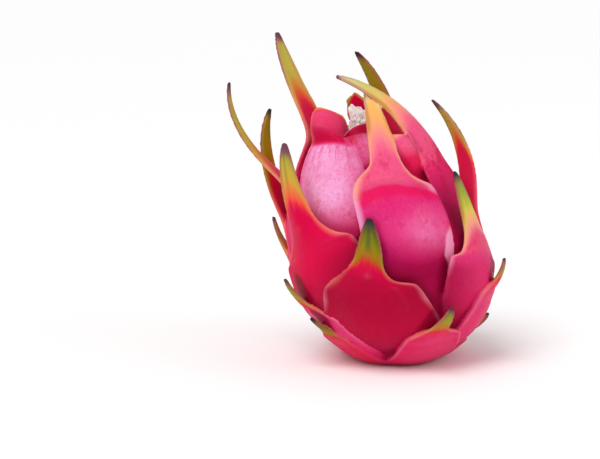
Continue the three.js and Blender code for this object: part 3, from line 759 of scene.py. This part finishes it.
# The shells are fused by a fine grid, softened, more so where scales have grown on, and thinned out.
def makePeel():
    shells = pieceFrom("peelShells", peelShells())
    print("shells:", len(shells.data.vertices), "points")
    peel = pieceFrom("peel", shells.data.copy())
    fuse = peel.modifiers.new("fuse", "REMESH")
    fuse.mode = "VOXEL"
    fuse.voxel_size = peelMesh["voxel"] * mm
    finished(peel)
    print("fused:", len(peel.data.vertices), "points")
    takePaint(peel, shells)

    mesh = peel.data
    edges = rowsOf(mesh.edges, "vertices", 2, np.int32)
    along = rowsOf(mesh.color_attributes["place"].data, "color", 4)[:, 0].astype(float) * 2 - 1
    grownOn = 1 - smoothStep(along, -0.3, 0.0)
    points = soften(pointsOf(mesh), edges, peelMesh["softenShare"], peelMesh["evenRounds"])
    points = soften(points, edges, peelMesh["softenShare"] * grownOn, peelMesh["softenRounds"])
    points[:, 2] = np.maximum(points[:, 2], 0)
    mesh.vertices.foreach_set("co", (points * mm).astype(np.float32).ravel())
    mesh.update()
    grid, low = crowdGrid(points)

    thin = peel.modifiers.new("thin", "DECIMATE")
    mesh.calc_loop_triangles()
    thin.ratio = min(1, peelMesh["triangles"] / len(mesh.loop_triangles))
    finished(peel)
    cleaned(peel.data)
    takePaint(peel, shells)
    paintHeight(peel.data, grid, low)
    shadeSmooth(peel.data)
    print("peel:", len(peel.data.polygons), "faces")
    bpy.data.objects.remove(shells)
    return peel


flower = {
    "radius": 5.5,
    "topRadius": 4.8,
    "height": 21,
    "lean": 8.5,
    "tears": ((3, 0.7, 1.6), (11, 0, 0.5), (26, 2, 0.3)),  # waves round the top, their phase and height
    "pleats": 7,
    "pleatDepth": 0.16,
    "folds": 23,
    "foldDepth": 0.03,
    "crumples": ((0.5, 7, 5), (0.24, 2.6, 6)),  # depth, wavelength and seed
    "crumpleRise": 1.5,
    "clearance": 0.4,
    "wall": 0.6,
    "insideFloor": 0.25,
    "rows": 40,
    "columns": 196,
}


# A pleated tube: up its outside, over the torn top, and down its inside to a floor.
# radius = R(height) (1 + d cos(pleats turn) + e cos(folds turn)), crumpled by random fields, more so upwards.
def flowerSurface():
    rows = flower["rows"]
    up = np.concatenate([np.linspace(0, 1, rows), np.linspace(1, flower["insideFloor"], rows)])
    inside = np.concatenate([np.zeros(rows), np.ones(rows)])
    turn = np.linspace(0, 2 * np.pi, flower["columns"], endpoint=False)
    pleat = (1 + flower["pleatDepth"] * np.cos(flower["pleats"] * turn)
             + flower["foldDepth"] * np.cos(flower["folds"] * turn + 1))
    radius = columns(blendTo(flower["radius"], flower["topRadius"], up)) * pleat
    radius = radius - columns(inside) * flower["wall"]
    torn = sum(high * np.sin(waves * turn + phase) for waves, phase, high in flower["tears"])
    floor = hollowFloor + flower["clearance"]
    height = floor + columns(up) * flower["height"] + columns(up**3) * torn
    rings = np.stack([radius * np.cos(turn), radius * np.sin(turn), height], axis=2)
    flat = rings.reshape(-1, 3)
    crumple = sum(depth * ripple(flat, wavelength, seed) for depth, wavelength, seed in flower["crumples"])
    outward = flat * [1, 1, 0]
    outward /= np.linalg.norm(outward, axis=1, keepdims=True)
    share = np.repeat(up, flower["columns"])
    flat = flat + outward * columns(crumple * np.clip(share * flower["crumpleRise"], 0, 1))
    flat[:, 0] += flower["lean"] * share
    return flat.reshape(rings.shape)


def makeFlower():
    rings = flowerSurface()
    mesh = meshFrom("witheredFlower", stood(withEnds(rings)), *ringFaces(*rings.shape[:2]))
    shadeSmooth(mesh)
    remnant = pieceFrom("witheredFlower", mesh)
    print("flower:", len(remnant.data.polygons), "faces")
    return remnant


# Linear colour from a web colour, by the standard curve: c / 12.92 when dark, else ((c + 0.055) / 1.055)^2.4.
def tint(web):
    parts = [int(web[i:i + 2], 16) / 255 for i in (1, 3, 5)]
    return tuple(c / 12.92 if c <= 0.04045 else ((c + 0.055) / 1.055) ** 2.4 for c in parts) + (1,)


# A finish with its web colours made linear.
def mixedPaint(finish):
    return {key: tint(value) if isinstance(value, str) else value for key, value in finish.items()}


# A socket in a material. Arithmetic on it adds Math nodes.
class Wire:
    def __init__(self, recipe, socket):
        self.recipe, self.socket = recipe, socket

    def math(self, operation, *values, clamp=False):
        settings = {"operation": operation, "use_clamp": clamp}
        return self.recipe.add("Math", settings, dict(enumerate(values)))

    def output(self, name):
        return Wire(self.recipe, self.socket.node.outputs[name])

    def __abs__(self):
        return self.math("ABSOLUTE", self)

    def atLeast(self, least):
        return self.math("MAXIMUM", self, least)

    def sine(self):
        return self.math("SINE", self)

    # Held between 0 and 1.
    def within(self):
        return self.math("ADD", self, 0, clamp=True)

    # 0 at low, 1 at high, smooth between; high may be the lower one.
    def ramp(self, low, high):
        return self.recipe.add("MapRange", {"interpolation_type": "SMOOTHSTEP"},
                               {"Value": self, "From Min": low, "From Max": high})


# The operators and their reflected forms, so that 1 - mask works.
for sign, operation in (("add", "ADD"), ("sub", "SUBTRACT"), ("mul", "MULTIPLY"), ("truediv", "DIVIDE")):
    setattr(Wire, f"__{sign}__", lambda self, other, kind=operation: self.math(kind, self, other))
    setattr(Wire, f"__r{sign}__", lambda self, other, kind=operation: self.math(kind, other, self))


# The nodes of one material.
class Recipe:
    def __init__(self, name):
        self.material = bpy.data.materials.new(name)
        self.material.use_nodes = True
        self.tree = self.material.node_tree
        self.tree.nodes.clear()

    # Any node: its settings go in first, then the values or links of its sockets. It gives one output on.
    def add(self, kind, settings=None, inputs=None, output=0):
        node = self.tree.nodes.new("ShaderNode" + kind)
        for key, value in (settings or {}).items():
            if key == "stops":
                while len(node.color_ramp.elements) < len(value):
                    node.color_ramp.elements.new(0.5)
                for element, (position, colour) in zip(node.color_ramp.elements, value):
                    element.position, element.color = position, colour
            else:
                setattr(node, key, value)
        for key, value in (inputs or {}).items():
            if isinstance(value, Wire):
                self.tree.links.new(value.socket, node.inputs[key])
            else:
                node.inputs[key].default_value = value
        return Wire(self, node.outputs[output]) if len(node.outputs) else node

    def mix(self, factor, a, b):
        return self.add("Mix", {"data_type": "RGBA"}, {0: factor, 6: a, 7: b}, 2)

    # A colour under one coat after another, each a mask and a colour.
    def coats(self, colour, *coats):
        for mask, over in coats:
            colour = self.mix(mask, colour, over)
        return colour

    def gradient(self, value, stops):
        return self.add("ValToRGB", {"stops": [(p, tint(c)) for p, c in stops]}, {"Fac": value})

    def noise(self, vector, scale, detail=3, roughness=0.55):
        inputs = {"Vector": vector, "Scale": scale, "Detail": detail, "Roughness": roughness}
        return self.add("TexNoise", {}, inputs)

    # The three numbers of a paint on the mesh.
    def parts(self, name):
        colour = self.add("Attribute", {"attribute_name": name, "attribute_type": "GEOMETRY"}, output="Color")
        split = self.add("SeparateColor", {}, {"Color": colour})
        return split, split.output("Green"), split.output("Blue")

    def vector(self, x, y, z):
        return self.add("CombineXYZ", {}, {"X": x, "Y": y, "Z": z})

    def bump(self, height, distance, strength, **under):
        return self.add("Bump", {}, {"Height": height, "Distance": distance, "Strength": strength, **under})

    def finish(self, surface):
        self.add("OutputMaterial", {}, {"Surface": surface})
        return self.material


peelFinish = {
    "crimson": "#DE0446",
    "magenta": "#DE2274",
    "pink": "#E85A98",
    # Lilac of the waxy coat, also used as a painted sheen and on pale margins.
    "bloomAndSheen": "#F6AEDC",
    # The next three colours are painted shade.
    "deepShade": "#A0022F",
    "low": "#B00456",
    "shadow": "#780428",
    "blush": "#F25E88",
    "peach": "#F3AA80",
    "lip": "#F492A4",
    "dried": "#7C4C5C",
    "driedLeaf": "#4A4A38",
    "charred": "#33282B",
    "goldenFace": "#E4CB62",
    "leafyFace": "#CDB515",
    "vein": "#D8307C",
    "blotch": "#CC1058",
    # Crimson of the painted shade below the crease.
    "creaseShadeRed": "#E4125E",
    "cork": "#8A6A4A",
    "lime": "#A6B838",
    "paleLime": "#DCDD90",
    "leaf": "#8A9E18",
    "olive": "#938A18",
    "leafyMiddle": "#3E4A1C",
    "rust": "#B8603E",
    "cloudScale": 48,
    "blotchScale": 150,
    "mottleScale": 520,
    "grainScale": 950,
    "scarRadii": (0.0085, 0.0065),  # metres, from where the cork begins to where it is full
    "roughness": 0.45,
    "subsurface": 0.05,
    "subsurfaceRadius": (1.0, 0.28, 0.3),
    "subsurfaceScale": 0.003,
    "specular": 0.05,
}

# Colours up a blade from where the red gives way: of yellow ones, green ones, and both where they are pale.
bladeStops = {
    "golden": [(0, "#E8203F"), (0.1, "#F0543E"), (0.26, "#E67C40"), (0.44, "#D6A23C"), (0.68, "#BEA83E"),
               (0.9, "#A09840"), (1, "#8A883C")],
    "leafy": [(0, "#D8182F"), (0.1, "#B8501C"), (0.24, "#A67410"), (0.42, "#8E800C"), (0.68, "#6C6E10"),
              (0.9, "#46501A"), (1, "#3A4420")],
    "rosy": [(0, "#F56A8C"), (0.14, "#F98488"), (0.3, "#FA9A7A"), (0.5, "#F4AE62"), (0.7, "#F2B860"),
             (0.85, "#E8D2A0"), (1, "#E0D6BC")],
    "fresh": [(0, "#F27F88"), (0.12, "#F5A48C"), (0.27, "#F0BE70"), (0.42, "#DAD24A"), (0.64, "#A6B63E"),
              (0.85, "#7E9236"), (1, "#667430")],
}


# The peel's paint, worked out from the places and tones on its points.
def peelMaterial():
    f = mixedPaint(peelFinish)
    make = Recipe("dragon fruit peel")
    where = make.add("TexCoord", {}, {}, "Object")
    alongPaint, acrossPaint, inner = make.parts("place")
    red, pale, bloomAndSheenShare = make.parts("flesh")
    turn, green, tip = make.parts("ripeness")
    fold, rim, creaseShade = make.parts("margins")
    veined, lip, mottled = make.parts("marks")
    deepShade, tone, opened = make.parts("shade")
    small, large, crowded = make.parts("height")

    # Fibres run along a scale, so their noise is stretched along it.
    along = alongPaint * 2 - 1
    across = acrossPaint * 2 - 1
    off = abs(across)
    fibres = make.noise(make.vector(across * 7, along * 1.1, tone * 9), 3, 4, 0.6)
    fineFibres = make.noise(make.vector(across * 26, along * 2.4, tone * 5), 3, 4, 0.65)
    cloud = make.noise(where, f["cloudScale"], 3, 0.5)
    blotch = make.noise(where, f["blotchScale"], 4, 0.6)
    mottle = make.noise(where, f["mottleScale"], 4, 0.65)
    grain = make.noise(where, f["grainScale"], 3, 0.7)
    waver = (cloud - 0.5) * 0.1 + (fibres - 0.5) * 0.16

    # Flesh of the panels and of the blades' roots, with painted light and shade: a painted sheen on the
    # panels, and painted shade towards the foot, in hollows, below the crease and where other scales stand
    # before it.
    plain = make.mix(red, f["magenta"], f["crimson"])
    lit = (pale * 0.9 + (cloud - 0.5) * 0.9).within() * (1 - red * 0.7)
    # Lilac waxy coat with a painted sheen over it.
    bloomAndSheen = (bloomAndSheenShare * (1.2 + (cloud - 0.5) * 2) + (bloomAndSheenShare * (blotch - 0.5)) * 1.5).within()
    dapple = mottle.ramp(0.45, 0.7) * 0.3 + grain.ramp(0.5, 0.75) * 0.2
    speckle = (grain + (blotch - 0.5) * 0.4).ramp(0.45, 0.7) * (1 - red) * 0.3
    streaks = fineFibres.ramp(0.5, 0.7) * along.ramp(-0.8, -0.1) * along.ramp(0.35, 0.1) * 0.22
    lines = (across * 21 + (fibres - 0.5) * 14).sine().ramp(0.5, 1) * fibres.ramp(0.35, 0.6)
    lines = (lines + fineFibres.ramp(0.5, 0.75) * 0.5).within() * veined * 0.85
    blotches = (blotch + (mottle - 0.5) * 0.35 + (mottled - 1) * 0.15).ramp(0.47, 0.62) * mottled * 0.75
    # Crimson painted shade below the crease.
    creaseShaded = (creaseShade + (fibres - 0.5) * 0.25 * creaseShade.ramp(0, 0.5)).ramp(0.1, 0.85)
    # Amount of painted shade: where other scales stand close, towards the foot, in hollows, and as set by
    # deepShade.
    crowdedShade = (crowded + (blotch - 0.5) * 0.3).ramp(0.25, 0.85) * (1 - opened) * (1 - inner * 0.7)
    low = along.ramp(-0.4, -1) * (0.5 - opened * 0.4) + large.ramp(0.47, 0.25) * (0.6 - opened * 0.4)
    low = (low + deepShade + crowdedShade * 0.9) * (0.8 + cloud * 0.4)
    flesh = make.coats(
        plain,
        (lit, f["pink"]),
        (bloomAndSheen, f["bloomAndSheen"]),
        (along.ramp(0.02, 0.14), make.mix(red, f["blush"], f["crimson"])),
        (dapple, plain),
        (speckle, f["pink"]),
        (streaks, plain),
        (lines, f["vein"]),
        (blotches, make.mix(red, f["blotch"], f["crimson"])),
        (creaseShaded, make.mix(red, f["creaseShadeRed"], f["crimson"])),
        (lip, f["lip"]),
        (low.within(), make.mix(red, f["low"], f["deepShade"])),
        ((low - 0.85).within() * 0.45, f["shadow"]))

    # Ripening up the blade: flesh, then yellow or green, first at the margins. The middle stays green, and
    # the margins turn rusty towards the tip.
    share = along + waver * along.ramp(0, 0.3) + off * off * 0.19 - turn
    share = share / (1 - turn - tip * 0.5).atLeast(0.3)
    golden, leafy, rosy, fresh = (make.gradient(share, stops) for stops in bladeStops.values())
    lush = (off + (fibres - 0.5) * 0.6).ramp(0.7, 0.15) * share.ramp(0.3, 0.5) * share.ramp(1, 0.75)
    lush = lush * (green * 4).within() * (0.75 - green * 0.5)
    rust = (off + (cloud - 0.5) * 0.5 - across * 0.2).ramp(0.45, 0.9) * share.ramp(0.25, 0.5)
    rust = (rust + share.ramp(0.82, 1) * 0.6).within() * 0.6
    paleness = pale.ramp(0.32, 0.44)
    blade = make.coats(
        make.mix(paleness, make.mix(green, golden, leafy), make.mix(green, rosy, fresh)),
        (fibres.ramp(0.45, 0.8) * 0.2, make.mix(green, f["peach"], f["olive"])),
        (lush, make.mix(green, make.mix(paleness, f["lime"], f["paleLime"]), f["leaf"])),
        (rust, f["rust"]))

    # Margins are pale on the shoulders and the lower blade, purplish and thin further up. The tip dries out.
    # Ridges are painted paler as a painted highlight, and cork rings the stem's scar.
    face = inner.ramp(0.4, 0.6) * share.ramp(0.1, 0.6) * 0.4
    shoulders = (off + rim * 0.1).ramp(0.9, 1.04) * (1 - inner)
    shoulders = (shoulders * rim * along.ramp(0.2, 0)).within() * 0.75
    edge = off.ramp(0.7, 0.97) * along.ramp(-0.02, 0.1) * share.ramp(0.6, 0.1) * rim * 0.75
    middle = off.ramp(fold * 0.32 + 0.05, 0.0) * share.ramp(0.1, 0.5) * (1 - inner) * fold * 0.7
    dry = (along + (mottle - 0.5) * 0.05 + (fibres - 0.5) * 0.06 - (1 - tip)) / (tip + 0.01)
    tipped = tip.ramp(0, 0.01)
    reach = make.add("VectorMath", {"operation": "LENGTH"}, {0: where}, "Value") + (mottle - 0.5) * 0.004
    scar = reach.ramp(*f["scarRadii"])
    colour = make.coats(
        flesh,
        ((share + 0.14).ramp(0, 0.2), blade),
        (face, make.mix(green.ramp(0.3, 0.85), f["goldenFace"], f["leafyFace"])),
        (shoulders, make.mix(red, f["bloomAndSheen"], f["lip"])),
        (edge, f["peach"]),
        (off.ramp(0.93, 1) * share.ramp(0.35, 0.75) * 0.6, f["dried"]),
        (middle, f["leafyMiddle"]),
        (dry.ramp(-0.5, 0.4) * tipped, make.mix(green.ramp(0.84, 0.94), f["dried"], f["driedLeaf"])),
        (dry.ramp(0.1, 0.8) * tipped * (0.3 + green * 0.7), f["charred"]),
        (small.ramp(0.6, 0.85) * 0.12 * (1 - dry.ramp(-0.7, 0)), f["lip"]),
        (scar, f["cork"]))

    roughness = f["roughness"] + (mottle - 0.5) * 0.15 + dry.ramp(-0.5, 0.5) * 0.25 + scar * 0.3
    skin = make.bump(mottle, 0.0004, 0.3)
    principled = make.add("BsdfPrincipled", {"subsurface_method": "RANDOM_WALK"}, {
        "Base Color": colour,
        "Roughness": roughness.within(),
        "Normal": make.bump(fineFibres, 0.0003, 0.4, Normal=skin),
        "Subsurface Weight": f["subsurface"],
        "Subsurface Radius": f["subsurfaceRadius"],
        "Subsurface Scale": f["subsurfaceScale"],
        "Specular IOR Level": f["specular"],
    })
    return make.finish(principled)


flowerFinish = {
    "paper": "#FDF7F5",
    "pink": "#F8D0D8",
    "dry": "#C2A08E",
    "dark": "#4A2A30",
    "fibreScale": 900,
    "cloudScale": 320,
    "roughness": 0.75,
    "subsurface": 0.1,
    "subsurfaceScale": 0.002,
}


def flowerMaterial():
    f = mixedPaint(flowerFinish)
    make = Recipe("withered flower")
    where = make.add("TexCoord", {}, {}, "Object")
    stretched = make.add("Mapping", {}, {"Vector": where, "Scale": (1, 1, 0.2)})
    fibres = make.noise(stretched, f["fibreScale"], 4, 0.65)
    cloud = make.noise(where, f["cloudScale"], 3, 0.6)
    principled = make.add("BsdfPrincipled", {}, {
        "Base Color": make.coats(
            f["paper"],
            (cloud.ramp(0.42, 0.66) * 0.5, f["pink"]),
            (fibres.ramp(0.52, 0.72) * 0.1, f["dry"]),
            (cloud.ramp(0.66, 0.74), f["dark"])),
        "Roughness": (f["roughness"] + (fibres - 0.5) * 0.2).within(),
        "Normal": make.bump(fibres, 0.0006, 0.6),
        "Subsurface Weight": f["subsurface"],
        "Subsurface Scale": f["subsurfaceScale"],
    })
    return make.finish(principled)


# Lengths here are metres.
studio = {
    "floorSize": 14,
    "floorColour": "#FFFFFF",
    "floorMottling": "#E8E8E8",
    "ambient": 0.58,
    "keyAngle": 38,
    "keyStrength": 1.5,
    "keyAzimuth": -38,
    "keyElevation": 58,
    # Watts and place of each soft light.
    "softLights": {"sheen": (0.5, (-0.55, -0.75, 0.65)), "fill": (1.3, (0.8, -0.35, 0.45))},
    "softSize": 0.5,
    "softTarget": (-0.01, 0, 0.07),
}

# The target is the middle of the frame; the fruit stands right of it.
camera = {"lens": 113.4, "distance": 900, "elevation": 10, "target": (-47.14, 0, 62.13)}


# Turns a camera or light to its target and puts it in the scene.
def aimed(thing, target):
    thing.rotation_euler = (Vector(target) - thing.location).to_track_quat("-Z", "Y").to_euler()
    bpy.context.scene.collection.objects.link(thing)
    return thing


def makeCamera():
    elevation = math.radians(camera["elevation"])
    target = np.array(camera["target"]) * mm
    lens = bpy.data.cameras.new("camera")
    lens.lens = camera["lens"]
    lens.clip_start = 0.02
    lens.clip_end = 50
    viewer = bpy.data.objects.new("camera", lens)
    back = np.array([0, -math.cos(elevation), math.sin(elevation)])
    viewer.location = target + camera["distance"] * mm * back
    bpy.context.scene.camera = aimed(viewer, target)


# A wide pale floor, even light from all round, a soft sun and two soft panels.
def makeStudio():
    size = studio["floorSize"] / 2
    corners = np.array([[-size, -size, 0], [size, -size, 0], [size, size, 0], [-size, size, 0]]) / mm
    quad, noTriangles = np.array([[0, 1, 2, 3]]), np.empty((0, 3), dtype=int)
    floor = pieceFrom("floor", meshFrom("floor", corners, quad, noTriangles))
    make = Recipe("floor")
    mottling = make.noise(make.add("TexCoord", {}, {}, "Object"), 3, 2)
    colour = make.mix(mottling * 0.04, tint(studio["floorColour"]), tint(studio["floorMottling"]))
    floor.data.materials.append(make.finish(
        make.add("BsdfPrincipled", {}, {"Base Color": colour, "Roughness": 1.0, "Specular IOR Level": 0.0})))

    world = bpy.data.worlds.new("studio")
    world.use_nodes = True
    background = world.node_tree.nodes["Background"]
    background.inputs["Color"].default_value = (1, 1, 1, 1)
    background.inputs["Strength"].default_value = studio["ambient"]
    bpy.context.scene.world = world

    azimuth, elevation = math.radians(studio["keyAzimuth"]), math.radians(studio["keyElevation"])
    key = bpy.data.lights.new("key", "SUN")
    key.energy = studio["keyStrength"]
    key.angle = math.radians(studio["keyAngle"])
    sun = bpy.data.objects.new("key", key)
    sun.location = (2 * math.sin(azimuth) * math.cos(elevation), -2 * math.cos(azimuth) * math.cos(elevation),
                    2 * math.sin(elevation))
    aimed(sun, (0, 0, 0))
    for name, (power, place) in studio["softLights"].items():
        light = bpy.data.lights.new(name, "AREA")
        light.energy = power
        light.size = studio["softSize"]
        soft = bpy.data.objects.new(name, light)
        soft.location = place
        aimed(soft, studio["softTarget"])

    view = bpy.context.scene.view_settings
    view.view_transform = "Standard"
    view.look = "None"


makeCamera()
makeStudio()
print("camera and studio ready")

peel = makePeel()
peel.data.materials.append(peelMaterial())
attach(peel, "root")
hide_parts("peel_with_scales")
print("peel ready")

witheredFlower = makeFlower()
witheredFlower.data.materials.append(flowerMaterial())
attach(witheredFlower, "root")
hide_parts("flower_remnant")
print("flower ready")
